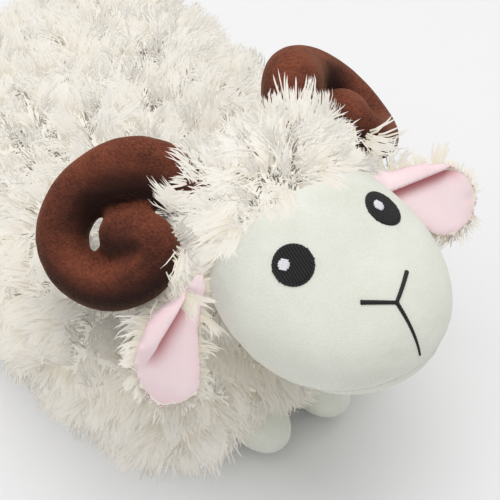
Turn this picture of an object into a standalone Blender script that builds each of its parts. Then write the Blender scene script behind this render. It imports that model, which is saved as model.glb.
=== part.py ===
# Plush ram lying on its belly, a stuffed toy of shaggy cream fur with a smooth face,
# curled brown horns and pink-lined ears. It faces -Y, its left side is +X and z = 0 is
# the surface that it lies on. Lengths are in metres.

import math

import bmesh
import bpy
from mathutils import Matrix, Vector

# Seams and piles: how thick each fabric lies when it is stuffed
seam_gap = 0.0003
stuffing_gap = 0.0008
body_pile = 0.015
fur_pile = 0.009
face_pile = 0.0025
overrun = 0.06

# Body, a broad cushion pressed flat below, that lies a little aslant under the head
body_half_width = 0.144
body_height = 0.140
body_front = -0.180
body_length = 0.442
belly_flat_depth = 0.0005
body_seam_height = 0.030
body_plan_squareness = 3.8
body_back_squareness = 3.4
body_belly_squareness = 4.0
body_width_shares = ((0.0, 0.92), (0.3, 1.0), (0.75, 1.0), (1.0, 0.90))
body_back_shares = ((0.0, 0.60), (0.3, 1.0), (0.8, 1.0), (1.0, 0.86))
body_tuft_rise = 0.004
body_turn = math.radians(-5)
body_shift = -0.009

# Head, an egg whose blunt end is the muzzle
head_centre = Vector((0, -0.184, 0.157))
head_half_width = 0.073
head_front_length = 0.078
head_rear_length = 0.090
head_half_height = 0.0435
head_pitch = math.radians(11)
forehead_rise = 0.018
forehead_start_share = -0.25
forehead_span_share = 0.9

# Panels of the head, by the places of their seams in the middle plane (y and z)
cheek_seam = Vector((-0.1375, 0.159))
hairline = Vector((-0.1705, 0.206))
throat_seam = Vector((-0.1775, 0.119))
hood_crown_rise = 0.014
chin_seam_front = Vector((-0.2655, 0.145))

# Neck, on an axis that leans back from the middle of the head into the body
neck_pivot = Vector((0, -0.145, 0.165))
neck_lean = math.radians(45)
neck_seat_radius = 0.047
neck_seat_angle = math.radians(48)
neck_swing_angle = math.radians(14)
neck_radius = 0.045
neck_reach = 0.100

# Embroidery
eye_centre = Vector((0.0342, -0.1855, 0.195))
eye_look = Vector((0.45, -0.53, 0.72)).normalized()
eye_radius = 0.0123
stitch_lift = 0.0012
glint_offset = Vector((-0.0042, 0.0035, 0))
glint_radius = 0.0036
glint_lift = 0.0018
mouth_centre = Vector((0, -0.2380, 0.182))
mouth_slope = math.radians(45)
mouth_arm = Vector((0.0190, 0.0110))
mouth_stem = 0.0350
mouth_stroke = 0.0028

# Horns, a tapered tube curled in one leaning plane
horn_centre = Vector((-0.0875, -0.0805, 0.1835))
horn_back = Vector((-0.07, 0.99, 0.07)).normalized()
horn_down = Vector((-0.704, 0, -0.704)).normalized()
horn_coil = 0.0475
horn_root_radius = 0.0180
# Each row is how far back, how far down, how far out of the plane (in coil sizes) and
# how thick (in root radii) the tube is there, from the root to the rounded tip.
horn_shares = (
    (-0.98, -0.84, 1.00, 0.84),
    (-0.50, -0.90, 0.42, 1.12),
    (0.08, -0.80, -0.04, 1.20),
    (0.44, -0.36, -0.16, 1.10),
    (0.50, 0.18, -0.26, 1.00),
    (0.24, 0.60, -0.27, 0.94),
    (-0.32, 0.70, -0.20, 0.88),
    (-0.82, 0.36, -0.15, 0.82),
    (-0.93, -0.10, -0.15, 0.75),
    (-0.67, -0.26, -0.17, 0.80),
    (-0.44, -0.12, -0.17, 0.88),
    (-0.27, -0.02, -0.16, 0.82),
)
horn_tip_shares = (0.35, 0.65, 0.85, 0.97)

# Ears, leaves that hang from a pinched root
ear_root = Vector((0.0735, -0.1440, 0.1710))
ear_length = 0.090
ear_half_width = 0.0235
ear_back_pile = 0.0050
ear_lining_pile = 0.0020
ear_core = 0.0006
ear_cup = 0.006
ear_socket_radius = 0.0105
ear_lining_share = 0.86
ear_width_shares = ((0.0, 0.45), (0.2, 0.55), (0.5, 0.85), (0.8, 1.2), (1.0, 1.3))
ear_hang = {"left": Vector((0.77, -0.55, -0.36)), "right": Vector((-0.50, -0.18, -0.60))}
ear_facing = {"left": Vector((-0.30, -0.55, 0.70)), "right": Vector((-0.30, -0.75, 0.6))}

# Feet and tail, egg-shaped stubs that each sit in a round pocket of the body
front_foot_half = Vector((0.0205, 0.0280, 0.0195))
front_foot_centre = Vector((0.0260, -0.1610, 0.0215))
hind_foot_half = Vector((0.0210, 0.0320, 0.0190))
hind_foot_centre = Vector((0.0800, 0.2215, 0.0210))
hind_foot_turn = math.radians(28)
tail_half = Vector((0.0170, 0.0270, 0.0150))
tail_centre = Vector((0, 0.2360, 0.0680))
tail_droop = math.radians(-20)

# How finely each round form is drawn
body_rings = 16
body_segments = 26
tuft_rings = 28
tuft_segments = 48
head_rings = 16
head_segments = 24
ear_rings = 12
ear_segments = 16
stub_rings = 10
stub_segments = 14
pocket_rings = 10
pocket_segments = 16
turned_steps = 24
arc_steps = 6
disc_segments = 20
horn_steps = 3
horn_sides_step = 3


def clear_scene():
    for obj in list(bpy.data.objects):
        bpy.data.objects.remove(obj, do_unlink=True)


def new_collection(name, hidden=False):
    collection = bpy.data.collections.new(name)
    bpy.context.scene.collection.children.link(collection)
    collection.hide_render = hidden
    return collection


def new_material(name, colour, roughness=0.9):
    material = bpy.data.materials.new(name)
    material.use_nodes = True
    shader = material.node_tree.nodes["Principled BSDF"]
    shader.inputs["Base Color"].default_value = (*colour, 1)
    shader.inputs["Roughness"].default_value = roughness
    shader.inputs["Metallic"].default_value = 0
    return material


def new_piece(name, mesh, material, pivot=None):
    """A piece in the toy's collection, hung on the empty of its joint where it has one."""
    obj = bpy.data.objects.new(name, mesh)
    toy.objects.link(obj)
    mesh.materials.append(material)
    mesh.shade_smooth()
    if pivot:
        obj.parent = pivot
        obj.matrix_parent_inverse = pivot.matrix_world.inverted()
    return obj


def new_cutter(name, mesh):
    obj = bpy.data.objects.new(name, mesh)
    cutters.objects.link(obj)
    obj.hide_render = True
    obj.display_type = "WIRE"
    return obj


def new_pivot(name, location, parent=None):
    pivot = bpy.data.objects.new(name, None)
    toy.objects.link(pivot)
    pivot.empty_display_size = fur_pile
    pivot.location = location
    if parent:
        pivot.parent = parent
        pivot.matrix_parent_inverse = parent.matrix_world.inverted()
    bpy.context.view_layer.update()
    return pivot


def cut(obj, cutter, operation="DIFFERENCE"):
    modifier = obj.modifiers.new(cutter.name, "BOOLEAN")
    modifier.operation = operation
    modifier.solver = "EXACT"
    modifier.object = cutter


def mesh_from(name, bm, find_outside=True):
    """The finished mesh, in triangles, so that no cut meets a bent face."""
    if find_outside:
        bmesh.ops.recalc_face_normals(bm, faces=bm.faces)
    bmesh.ops.triangulate(bm, faces=bm.faces)
    mesh = bpy.data.meshes.new(name)
    bm.to_mesh(mesh)
    bm.free()
    return mesh


def smooth_step(value):
    value = min(max(value, 0), 1)
    return value * value * (3 - 2 * value)


def share_at(table, place):
    """The share at a place along a piece, eased between the rows of its table."""
    for (start, low), (end, high) in zip(table, table[1:]):
        if place <= end:
            return low + (high - low) * smooth_step((place - start) / (end - start))
    return table[-1][1]


def round_mesh(name, rings, segments, place):
    """A ball with its poles along Y, each point of which goes where place() puts it."""
    bm = bmesh.new()
    bmesh.ops.create_uvsphere(bm, u_segments=segments, v_segments=rings, radius=1)
    turn = Matrix.Rotation(math.pi / 2, 3, "X")
    for vertex in bm.verts:
        vertex.co = place(turn @ vertex.co)
    return mesh_from(name, bm, find_outside=False)


def flattened(mesh, height):
    """The mesh cut flat at a height, with everything below it gone."""
    bm = bmesh.new()
    bm.from_mesh(mesh)
    everything = bm.verts[:] + bm.edges[:] + bm.faces[:]
    bmesh.ops.bisect_plane(
        bm, geom=everything, plane_co=(0, 0, height), plane_no=(0, 0, 1), clear_inner=True
    )
    rim = [edge for edge in bm.edges if edge.is_boundary]
    bmesh.ops.contextual_create(bm, geom=rim)
    flat = mesh_from(mesh.name, bm)
    bpy.data.meshes.remove(mesh)
    return flat


def aslant(spot):
    """Where a spot of the straight body lies once the body is turned under the head."""
    turned = Matrix.Rotation(body_turn, 3, "Z") @ (spot - neck_pivot)
    return neck_pivot + turned + Vector((body_shift, 0, 0))


def body_mesh(name, inset):
    """The body's form, drawn in from its outer surface by inset. Only the outer one is tufted."""
    rings, segments = (body_rings, body_segments) if inset else (tuft_rings, tuft_segments)
    tuft_rise = 0 if inset else body_tuft_rise
    half_width = body_half_width - inset
    half_length = body_length / 2 - inset
    half_height = (body_height + belly_flat_depth) / 2 - inset
    middle = Vector((0, body_front + body_length / 2, (body_height - belly_flat_depth) / 2))

    def place(unit):
        plan = body_plan_squareness
        section = body_back_squareness if unit.z > 0 else body_belly_squareness
        spread = (abs(unit.x) ** plan + abs(unit.y) ** plan) ** (1 / plan)
        swollen = unit / (spread ** section + abs(unit.z) ** section) ** (1 / section)
        along = (swollen.y + 1) / 2
        x = swollen.x * half_width * share_at(body_width_shares, along)
        z = swollen.z * half_height
        if z > 0:
            z *= share_at(body_back_shares, along)
        above = smooth_step((middle.z + z - body_seam_height) / body_seam_height)
        tuft = math.cos(rings * math.acos(max(-1, min(1, unit.y))))
        tuft *= math.cos(segments / 2 * math.atan2(unit.z, unit.x))
        spot = middle + Vector((x, swollen.y * half_length, z))
        return aslant(spot + unit * tuft_rise * above * tuft)

    return flattened(round_mesh(name, rings, segments, place), inset)


def head_mesh(name, inset, crown=0):
    """The head's form about its own centre, drawn in from the face's surface by inset."""
    half_width = head_half_width - inset
    half_height = head_half_height - inset
    leaned = Matrix.Rotation(head_pitch, 3, "X")

    def place(unit):
        length = head_rear_length if unit.y > 0 else head_front_length
        lift = smooth_step((unit.y - forehead_start_share) / forehead_span_share)
        rise = (forehead_rise + crown) * lift * max(unit.z, 0)
        spot = Vector((unit.x * half_width, unit.y * (length - inset), unit.z * half_height))
        return head_centre + leaned @ (spot + Vector((0, 0, rise)))

    return round_mesh(name, head_rings, head_segments, place)


def prism_mesh(name, outline, half_depth):
    """A flat outline thickened to both sides of its own plane."""
    curve = bpy.data.curves.new(name, "CURVE")
    curve.dimensions = "2D"
    curve.fill_mode = "BOTH"
    curve.extrude = half_depth
    spline = curve.splines.new("POLY")
    spline.points.add(len(outline) - 1)
    for point, spot in zip(spline.points, outline):
        point.co = (spot[0], spot[1], 0, 1)
    spline.use_cyclic_u = True
    return mesh_of_curve(curve)


def mesh_of_curve(curve):
    """The closed mesh of a curve, with its caps welded to its sides."""
    holder = bpy.data.objects.new(curve.name, curve)
    cutters.objects.link(holder)
    evaluated = holder.evaluated_get(bpy.context.evaluated_depsgraph_get())
    bm = bmesh.new()
    bm.from_mesh(bpy.data.meshes.new_from_object(evaluated))
    bmesh.ops.remove_doubles(bm, verts=bm.verts, dist=seam_gap / 10)
    bpy.data.objects.remove(holder)
    return mesh_from(curve.name, bm)


def turned_mesh(name, profile):
    """A profile in the XZ plane turned about Z, closed where it meets the axis."""
    bm = bmesh.new()
    corners = [bm.verts.new((spot[0], 0, spot[1])) for spot in profile]
    for pair in zip(corners, corners[1:]):
        bm.edges.new(pair)
    bmesh.ops.spin(
        bm, geom=bm.verts[:] + bm.edges[:], cent=(0, 0, 0), axis=(0, 0, 1),
        angle=2 * math.pi, steps=turned_steps, use_merge=True, use_duplicate=False,
    )
    bmesh.ops.remove_doubles(bm, verts=bm.verts, dist=seam_gap / 10)
    return mesh_from(name, bm)


def arc(radius, start, end):
    """Points of an arc about the origin, by the angle from straight down."""
    turns = [start + (end - start) * step / arc_steps for step in range(arc_steps + 1)]
    return [(radius * math.sin(turn), -radius * math.cos(turn)) for turn in turns]


def inset_outline(outline, distance):
    """A convex outline, given anticlockwise, with each of its sides moved in."""
    moved = []
    count = len(outline)
    for i in range(count):
        before = (outline[i] - outline[i - 1]).normalized()
        after = (outline[(i + 1) % count] - outline[i]).normalized()
        inward = Vector((-before.y, before.x)) + Vector((-after.y, after.x))
        moved.append(outline[i] + inward * distance / (1 + before.dot(after)))
    return moved


def pocket_cutter(name, placing, half):
    """A flattened ball whose flats, and not only its corners, clear the half sizes given."""
    flats = math.cos(math.pi / pocket_segments) * math.cos(math.pi / 2 / pocket_rings)
    bm = bmesh.new()
    bmesh.ops.create_uvsphere(bm, u_segments=pocket_segments, v_segments=pocket_rings, radius=1)
    outer = [(size + seam_gap) / flats for size in half]
    bmesh.ops.scale(bm, verts=bm.verts, vec=outer)
    pocket = new_cutter(name, mesh_from(name, bm))
    pocket.matrix_world = placing
    return pocket


def mirrored(vector, side):
    return Vector((vector.x * (1 if side == "left" else -1), vector.y, vector.z))


def frame_of(origin, along_z, along_x):
    """A placing whose Z and X axes point as given, X as nearly as it can."""
    z = along_z.normalized()
    x = (along_x - along_x.dot(z) * z).normalized()
    y = z.cross(x)
    placing = Matrix((x, y, z)).transposed().to_4x4()
    placing.translation = origin
    return placing


# Body: a fur cover and a belly panel sewn round the stuffing
def build_body():
    inner = new_cutter("body_inside", body_mesh("body_inside", body_pile))
    low = Vector((body_half_width + overrun, body_length + overrun, body_seam_height))
    halves = {}
    for name, shift in (("above_seam", seam_gap), ("below_seam", 0)):
        bm = bmesh.new()
        bmesh.ops.create_cube(bm, size=2)
        bmesh.ops.scale(bm, verts=bm.verts, vec=low)
        halves[name] = new_cutter(name, mesh_from(name, bm))
        halves[name].location.z = shift
    cover = new_piece("body_fur_cover", body_mesh("body_fur_cover", 0), fur, torso)
    cut(cover, inner)
    cut(cover, halves["above_seam"])
    belly = new_piece("belly_panel", body_mesh("belly_panel", 0), fur, torso)
    cut(belly, inner)
    cut(belly, halves["below_seam"], "INTERSECT")
    core = body_mesh("body_stuffing", body_pile + stuffing_gap)
    return [cover, belly, new_piece("body_stuffing", core, stuffing, torso)]


# Neck: a stuffed fur tube that turns in the body and holds the head in its cupped end
def neck_placing():
    lean = Vector((0, -math.sin(neck_lean), math.cos(neck_lean)))
    return frame_of(neck_pivot, lean, Vector((1, 0, 0)))


def build_neck():
    shoulder = neck_radius / math.tan(neck_seat_angle)
    profile = arc(neck_seat_radius, 0, neck_seat_angle)
    profile.append((neck_radius, -shoulder))
    profile.append((neck_radius, fur_pile - neck_reach))
    profile.append((neck_radius - fur_pile, -neck_reach))
    profile.append((0, -neck_reach))
    neck = new_piece("neck", turned_mesh("neck", profile), fur, neck_turn)
    neck.matrix_world = neck_placing()
    room = (neck_radius + seam_gap) / math.cos(math.pi / turned_steps)
    pocket_profile = [
        (0, 0), (room, 0), (room, fur_pile - neck_reach - seam_gap),
        (room - fur_pile, -neck_reach - seam_gap), (0, -neck_reach - seam_gap),
    ]
    pocket = new_cutter("neck_pocket", turned_mesh("neck_pocket", pocket_profile))
    pocket.matrix_world = neck_placing()
    for piece in body_pieces:
        cut(piece, pocket)


def neck_swing():
    """What the neck's cup needs clear of the head as the head nods."""
    wide = neck_seat_angle + neck_swing_angle
    profile = arc(neck_seat_radius - seam_gap, 0, wide)
    far = neck_seat_radius + overrun
    profile.append((far * math.sin(wide), -far * math.cos(wide)))
    profile.append((0, -far))
    swing = new_cutter("neck_swing", turned_mesh("neck_swing", profile))
    swing.matrix_world = neck_placing()
    return swing


# Horns: the same curl on both sides, one the mirror of the other
def horn_mesh(name, side, swell=0):
    outward = horn_down.cross(horn_back)
    curve = bpy.data.curves.new(name, "CURVE")
    curve.dimensions = "3D"
    curve.bevel_depth = 1
    curve.bevel_resolution = horn_sides_step
    curve.resolution_u = horn_steps
    curve.use_fill_caps = True
    spots = []
    for back, down, out, thick in horn_shares:
        spot = horn_centre + horn_coil * (back * horn_back + down * horn_down + out * outward)
        spots.append((mirrored(spot, "right" if side == "left" else "left"), thick))
    last, before = spots[-1][0], spots[-2][0]
    tip = (last - before).normalized() * horn_root_radius
    end_thick = spots[-1][1]
    for turn in horn_tip_shares:
        spots.append((last + tip * end_thick * turn, end_thick * math.sqrt(1 - turn * turn)))
    spline = curve.splines.new("BEZIER")
    spline.bezier_points.add(len(spots) - 1)
    for point, (spot, thick) in zip(spline.bezier_points, spots):
        point.co = spot
        point.radius = thick * horn_root_radius + swell
        point.handle_left_type = "AUTO"
        point.handle_right_type = "AUTO"
    return mesh_of_curve(curve)


def build_horn(side, head_pieces):
    new_piece(f"horn_{side}", horn_mesh(f"horn_{side}", side), horn_plush, head_nod)
    seat_name = f"horn_seat_{side}"
    seat = new_cutter(seat_name, horn_mesh(seat_name, side, seam_gap))
    for piece in head_pieces:
        cut(piece, seat)


# Head: stuffing inside a smooth face panel, a chin gusset and a thick fur hood
def seam_prism(name, outline, inset=0):
    """A cutter through the head whose outline is given in y and z."""
    outline = inset_outline([Vector(spot) for spot in outline], inset)
    cutter = new_cutter(name, prism_mesh(name, outline, head_half_width + overrun))
    cutter.matrix_world = frame_of(Vector((0, 0, 0)), Vector((1, 0, 0)), Vector((0, 1, 0)))
    return cutter


def build_head():
    far_front = head_centre.y - head_front_length - overrun
    far_up = head_centre.z + head_half_height + overrun
    far_down = head_centre.z - head_half_height - overrun
    up_seam = hairline - cheek_seam
    top = cheek_seam + up_seam * (far_up - cheek_seam.y) / up_seam.y
    down_seam = throat_seam - cheek_seam
    bottom = cheek_seam + down_seam * (far_down - cheek_seam.y) / down_seam.y
    chin_run = chin_seam_front - throat_seam
    front = throat_seam + chin_run * (far_front - throat_seam.x) / chin_run.x
    front_top = Vector((far_front, far_up))
    front_bottom = Vector((far_front, far_down))
    whole_front = seam_prism("front_of_head", (top, front_top, front_bottom, bottom, cheek_seam))
    face_room = seam_prism("face_room", (top, front_top, front, throat_seam, cheek_seam), seam_gap)
    chin_room = seam_prism("chin_room", (front, front_bottom, bottom, throat_seam), seam_gap)
    inside = new_cutter("head_inside", head_mesh("head_inside", face_pile))

    hood_mesh = head_mesh("head_fur_hood", face_pile - fur_pile, hood_crown_rise)
    hood = new_piece("head_fur_hood", hood_mesh, fur, head_nod)
    cut(hood, inside)
    cut(hood, whole_front)
    face = new_piece("face_panel", head_mesh("face_panel", 0), face_plush, head_nod)
    cut(face, inside)
    cut(face, face_room, "INTERSECT")
    chin = new_piece("chin_gusset", head_mesh("chin_gusset", 0), face_plush, head_nod)
    cut(chin, inside)
    cut(chin, chin_room, "INTERSECT")
    core_mesh = head_mesh("head_stuffing", face_pile + stuffing_gap)
    core = new_piece("head_stuffing", core_mesh, stuffing, head_nod)
    swing = neck_swing()
    for piece in (hood, chin, core):
        cut(piece, swing)
    for side in ("left", "right"):
        build_horn(side, (hood, core))
    return hood, core


# Embroidery: thread that lies on the face, cut from a thin skin over it
def build_stitching(name, outline, material, low, high):
    piece = new_piece(name, head_mesh(name, -high), material, head_nod)
    cut(piece, outline, "INTERSECT")
    under = new_cutter(f"{name}_under", head_mesh(f"{name}_under", -low))
    cut(piece, under)


def disc_cutter(name, centre, look, radius):
    bm = bmesh.new()
    bmesh.ops.create_cone(
        bm, cap_ends=True, segments=disc_segments, radius1=radius, radius2=radius, depth=head_half_height
    )
    cutter = new_cutter(name, mesh_from(name, bm))
    cutter.matrix_world = frame_of(centre, look, Vector((1, 0, 0)))
    return cutter


def build_eye(side):
    centre = mirrored(eye_centre, side)
    look = mirrored(eye_look, side)
    disc = disc_cutter(f"eye_outline_{side}", centre, look, eye_radius)
    build_stitching(f"eye_{side}", disc, black_thread, seam_gap, stitch_lift)
    glint = disc_cutter(f"glint_outline_{side}", centre + glint_offset, look, glint_radius)
    low = stitch_lift + seam_gap
    build_stitching(f"eye_glint_{side}", glint, white_thread, low, low + glint_lift - stitch_lift)


def build_mouth():
    half = mouth_stroke / 2
    arm = mouth_arm
    side_step = Vector((arm.y, -arm.x)).normalized() * half
    crotch = half * arm.length / arm.x
    lap = half * (arm.length - arm.y) / arm.x
    outline = [
        Vector((half, -mouth_stem)),
        Vector((half, -lap)),
        arm + side_step,
        arm - side_step,
        Vector((0, crotch)),
        Vector((side_step.x - arm.x, arm.y - side_step.y)),
        Vector((-side_step.x - arm.x, arm.y + side_step.y)),
        Vector((-half, -lap)),
        Vector((-half, -mouth_stem)),
    ]
    cutter = new_cutter("mouth_outline", prism_mesh("mouth_outline", outline, head_half_height / 2))
    look = Vector((0, -math.sin(mouth_slope), math.cos(mouth_slope)))
    cutter.matrix_world = frame_of(mouth_centre, look, Vector((1, 0, 0)))
    build_stitching("mouth_stitching", cutter, black_thread, seam_gap, stitch_lift)


# Ears: a fur back and a pink lining, cupped alike, with the root in a pocket of the hood
def ear_mesh(name, share, top, bottom):
    """A leaf from the root outwards along Y, top and bottom being its pile either way."""
    start = -ear_socket_radius * share
    half_length = (ear_length * share) / 2
    middle = start + half_length

    def place(unit):
        along = (unit.y + 1) / 2
        x = unit.x * ear_half_width * share * share_at(ear_width_shares, along)
        pile = top if unit.z > 0 else bottom
        cup = ear_cup * (x / ear_half_width) ** 2
        return Vector((x, middle + unit.y * half_length, cup + unit.z * pile))

    return round_mesh(name, ear_rings, ear_segments, place)


def build_ear(side, head_pieces):
    root = mirrored(ear_root, side)
    flap = new_pivot(f"ear_flap_{side}", root, head_nod)
    hang = ear_hang[side].normalized()
    facing = ear_facing[side]
    lining_side = (facing - facing.dot(hang) * hang).normalized()
    placing = frame_of(root, lining_side, hang.cross(lining_side))
    back_mesh = ear_mesh(f"ear_back_{side}", 1, ear_core, ear_back_pile)
    back = new_piece(f"ear_back_{side}", back_mesh, fur, flap)
    back.matrix_world = placing
    lining_mesh = ear_mesh(f"ear_lining_{side}", ear_lining_share, ear_lining_pile, ear_core)
    lining = new_piece(f"ear_lining_{side}", lining_mesh, pink_plush, flap)
    lining.matrix_world = placing @ Matrix.Translation((0, 0, 2 * ear_core + seam_gap))
    pocket = pocket_cutter(f"ear_pocket_{side}", placing, [ear_socket_radius] * 3)
    for piece in head_pieces:
        cut(piece, pocket)


# Feet and tail: stubs that bend in their pockets, feet up and down, the tail sideways
def build_stub(name, spot, half, material, pocket_half, turn=0, tilt=0):
    centre = aslant(spot)
    pivot = new_pivot(f"{name}_pivot", centre, torso)

    def place(unit):
        return Vector((unit.x * half.x, unit.y * half.y, unit.z * half.z))

    stub = new_piece(name, round_mesh(name, stub_rings, stub_segments, place), material, pivot)
    turned = Matrix.Rotation(turn + body_turn, 4, "Z") @ Matrix.Rotation(tilt, 4, "X")
    stub.matrix_world = Matrix.Translation(centre) @ turned
    pocket = pocket_cutter(f"{name}_pocket", stub.matrix_world, pocket_half)
    for piece in body_pieces:
        cut(piece, pocket)


clear_scene()
toy = new_collection("plush_ram")
cutters = new_collection("cutters", hidden=True)
fur = new_material("cream_fur", (0.86, 0.82, 0.74), 1.0)
face_plush = new_material("smooth_cream_plush", (0.85, 0.85, 0.76))
horn_plush = new_material("brown_plush", (0.16, 0.065, 0.035))
pink_plush = new_material("pink_plush", (0.88, 0.58, 0.60))
black_thread = new_material("black_thread", (0.012, 0.012, 0.014), 0.6)
white_thread = new_material("white_thread", (0.9, 0.9, 0.88), 0.6)
stuffing = new_material("polyester_stuffing", (0.9, 0.9, 0.9), 1.0)

torso = new_pivot("torso", Vector((0, 0, 0)))
neck_turn = new_pivot("neck_turn", neck_pivot, torso)
head_nod = new_pivot("head_nod", neck_pivot, neck_turn)

body_pieces = build_body()
build_neck()
head_pieces = build_head()
build_mouth()
for side in ("left", "right"):
    build_eye(side)
    build_ear(side, head_pieces)
    splay = -hind_foot_turn if side == "left" else hind_foot_turn
    front_spot = mirrored(front_foot_centre, side)
    hind_spot = mirrored(hind_foot_centre, side)
    front, hind = front_foot_half, hind_foot_half
    front_pocket = Vector((front.x, front.y, front.y))
    hind_pocket = Vector((hind.x, hind.y, hind.y))
    build_stub(f"front_foot_{side}", front_spot, front, face_plush, front_pocket)
    build_stub(f"hind_foot_{side}", hind_spot, hind, face_plush, hind_pocket, splay)
tail_pocket = Vector((tail_half.y, tail_half.y, tail_half.z))
build_stub("tail", tail_centre, tail_half, fur, tail_pocket, 0, tail_droop)
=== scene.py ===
import math

import bmesh
import bpy
import numpy as np
from mathutils import Matrix, Vector
from mathutils.bvhtree import BVHTree
from mathutils.kdtree import KDTree


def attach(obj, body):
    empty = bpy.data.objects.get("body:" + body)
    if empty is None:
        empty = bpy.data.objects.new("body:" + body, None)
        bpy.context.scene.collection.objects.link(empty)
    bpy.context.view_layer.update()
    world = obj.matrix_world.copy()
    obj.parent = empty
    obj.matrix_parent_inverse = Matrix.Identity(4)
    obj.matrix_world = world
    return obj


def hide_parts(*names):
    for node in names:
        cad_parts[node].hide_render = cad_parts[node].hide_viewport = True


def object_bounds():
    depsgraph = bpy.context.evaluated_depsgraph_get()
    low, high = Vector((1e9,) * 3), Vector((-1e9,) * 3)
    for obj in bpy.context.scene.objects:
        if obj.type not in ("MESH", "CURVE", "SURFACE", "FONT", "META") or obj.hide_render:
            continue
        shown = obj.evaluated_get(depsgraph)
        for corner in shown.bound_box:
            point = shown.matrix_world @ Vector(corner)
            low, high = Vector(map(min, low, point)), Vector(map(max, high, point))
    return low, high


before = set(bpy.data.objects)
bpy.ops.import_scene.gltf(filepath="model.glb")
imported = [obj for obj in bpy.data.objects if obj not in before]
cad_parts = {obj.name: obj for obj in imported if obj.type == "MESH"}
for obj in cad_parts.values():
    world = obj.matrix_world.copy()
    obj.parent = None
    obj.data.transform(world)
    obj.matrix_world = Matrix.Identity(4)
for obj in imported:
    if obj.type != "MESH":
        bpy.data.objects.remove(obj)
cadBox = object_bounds()
scene = bpy.context.scene
print("frame loaded:", len(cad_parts), "nodes")


# Camera, lamps and floor

cameraSetup = dict(
    spot=(-0.3902, -0.5624, 0.7344), back=(-0.456, -0.532, 0.713), lens=92.6, sensor=36,
)

lampSetup = dict(
    key=dict(spot=(0.45, 0.15, 2.95), size=2.6, watts=50.0),
    side=dict(spot=(-1.3, 0.5, 1.7), size=1.6, watts=5.0), worldLevel=0.56,
)

floorLook = dict(
    light=(238, 238, 239), shade=(232, 232, 234), grain=7.0, share=0.3, roughness=0.85, half=4.0,
)

clothSpecular = 0.25
sides = ("left", "right")


def paint(red, green, blue):  # a screen colour, 0 to 255, as Blender wants it
    def linear(level):
        level = level / 255
        return level / 12.92 if level <= 0.04045 else ((level + 0.055) / 1.055) ** 2.4

    return (linear(red), linear(green), linear(blue), 1.0)


def turnedTo(back):  # a turn that looks against this direction, level with the floor
    back = Vector(back).normalized()
    right = Vector((0, 0, 1)).cross(back).normalized()
    up = back.cross(right)
    return Matrix((right, up, back)).transposed().to_4x4()


class Wire:
    # one output of a node; sums on it add their Math nodes
    def __init__(self, tree, socket=None):
        self.tree = tree
        self.socket = socket

    def make(self, kind, settings=None, sockets=None, out=0):
        node = self.tree.nodes.new(kind)
        for name, value in (settings or {}).items():
            setattr(node, name, value)
        for name, value in (sockets or {}).items():
            if isinstance(value, Wire):
                self.tree.links.new(value.socket, node.inputs[name])
            else:
                node.inputs[name].default_value = value
        return Wire(self.tree, node.outputs[out])

    def sum(self, operation, first, second):
        return self.make("ShaderNodeMath", {"operation": operation}, {0: first, 1: second})

    def mix(self, factor, first, second):
        sockets = {0: factor, 6: first, 7: second}
        return self.make("ShaderNodeMix", {"data_type": "RGBA"}, sockets, out=2)

    def clamp(self):
        return self.make("ShaderNodeClamp", None, {"Value": self})

    def noise(self, place, scale, detail=3.0, roughness=0.55):
        sockets = {"Vector": place, "Scale": scale, "Detail": detail, "Roughness": roughness}
        return self.make("ShaderNodeTexNoise", None, sockets)

    def __add__(self, other):
        return self.sum("ADD", self, other)

    def __sub__(self, other):
        return self.sum("SUBTRACT", self, other)

    def __rsub__(self, other):
        return self.sum("SUBTRACT", other, self)

    def __mul__(self, other):
        return self.sum("MULTIPLY", self, other)

    __radd__ = __add__
    __rmul__ = __mul__


def freshMaterial(name, roughness, sheen=0.0, sheenTint=None, sheenRoughness=0.5):
    material = bpy.data.materials.new(name)
    material.use_nodes = True
    shader = material.node_tree.nodes["Principled BSDF"]
    shader.inputs["Roughness"].default_value = roughness
    shader.inputs["Specular IOR Level"].default_value = clothSpecular
    shader.inputs["Sheen Weight"].default_value = sheen
    shader.inputs["Sheen Roughness"].default_value = sheenRoughness
    if sheenTint:
        shader.inputs["Sheen Tint"].default_value = sheenTint
    return material, Wire(material.node_tree), shader


def feed(wire, shader, name):
    wire.tree.links.new(wire.socket, shader.inputs[name])


def feedBump(height, shader, strength, distance):
    sockets = {"Strength": strength, "Distance": distance, "Height": height}
    feed(height.make("ShaderNodeBump", None, sockets), shader, "Normal")


def newPiece(name, mesh, material=None):
    piece = bpy.data.objects.new(name, mesh)
    scene.collection.objects.link(piece)
    if material:
        mesh.materials.clear()
        mesh.materials.append(material)
    return piece


def seenOf(piece):
    return piece.evaluated_get(bpy.context.evaluated_depsgraph_get())


def shapeOf(mesh):
    shape = bmesh.new()
    shape.from_mesh(mesh)
    return shape


def meshOf(shape, name):
    mesh = bpy.data.meshes.new(name)
    shape.to_mesh(mesh)
    shape.free()
    return mesh


cameraData = bpy.data.cameras.new("photoCamera")
cameraData.lens = cameraSetup["lens"]
cameraData.sensor_width = cameraSetup["sensor"]
camera = bpy.data.objects.new("photoCamera", cameraData)
camera.matrix_world = Matrix.Translation(cameraSetup["spot"]) @ turnedTo(cameraSetup["back"])
scene.collection.objects.link(camera)
scene.camera = camera

for lampName in ("key", "side"):
    setup = lampSetup[lampName]
    lampData = bpy.data.lights.new(lampName, "AREA")
    lampData.size = setup["size"]
    lampData.energy = setup["watts"]
    lamp = bpy.data.objects.new(lampName, lampData)
    lamp.matrix_world = Matrix.Translation(setup["spot"]) @ turnedTo(setup["spot"])
    scene.collection.objects.link(lamp)

world = bpy.data.worlds.new("studio")
scene.world = world
world.use_nodes = True
background = world.node_tree.nodes["Background"]
background.inputs["Color"].default_value = (1, 1, 1, 1)
background.inputs["Strength"].default_value = lampSetup["worldLevel"]

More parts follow.
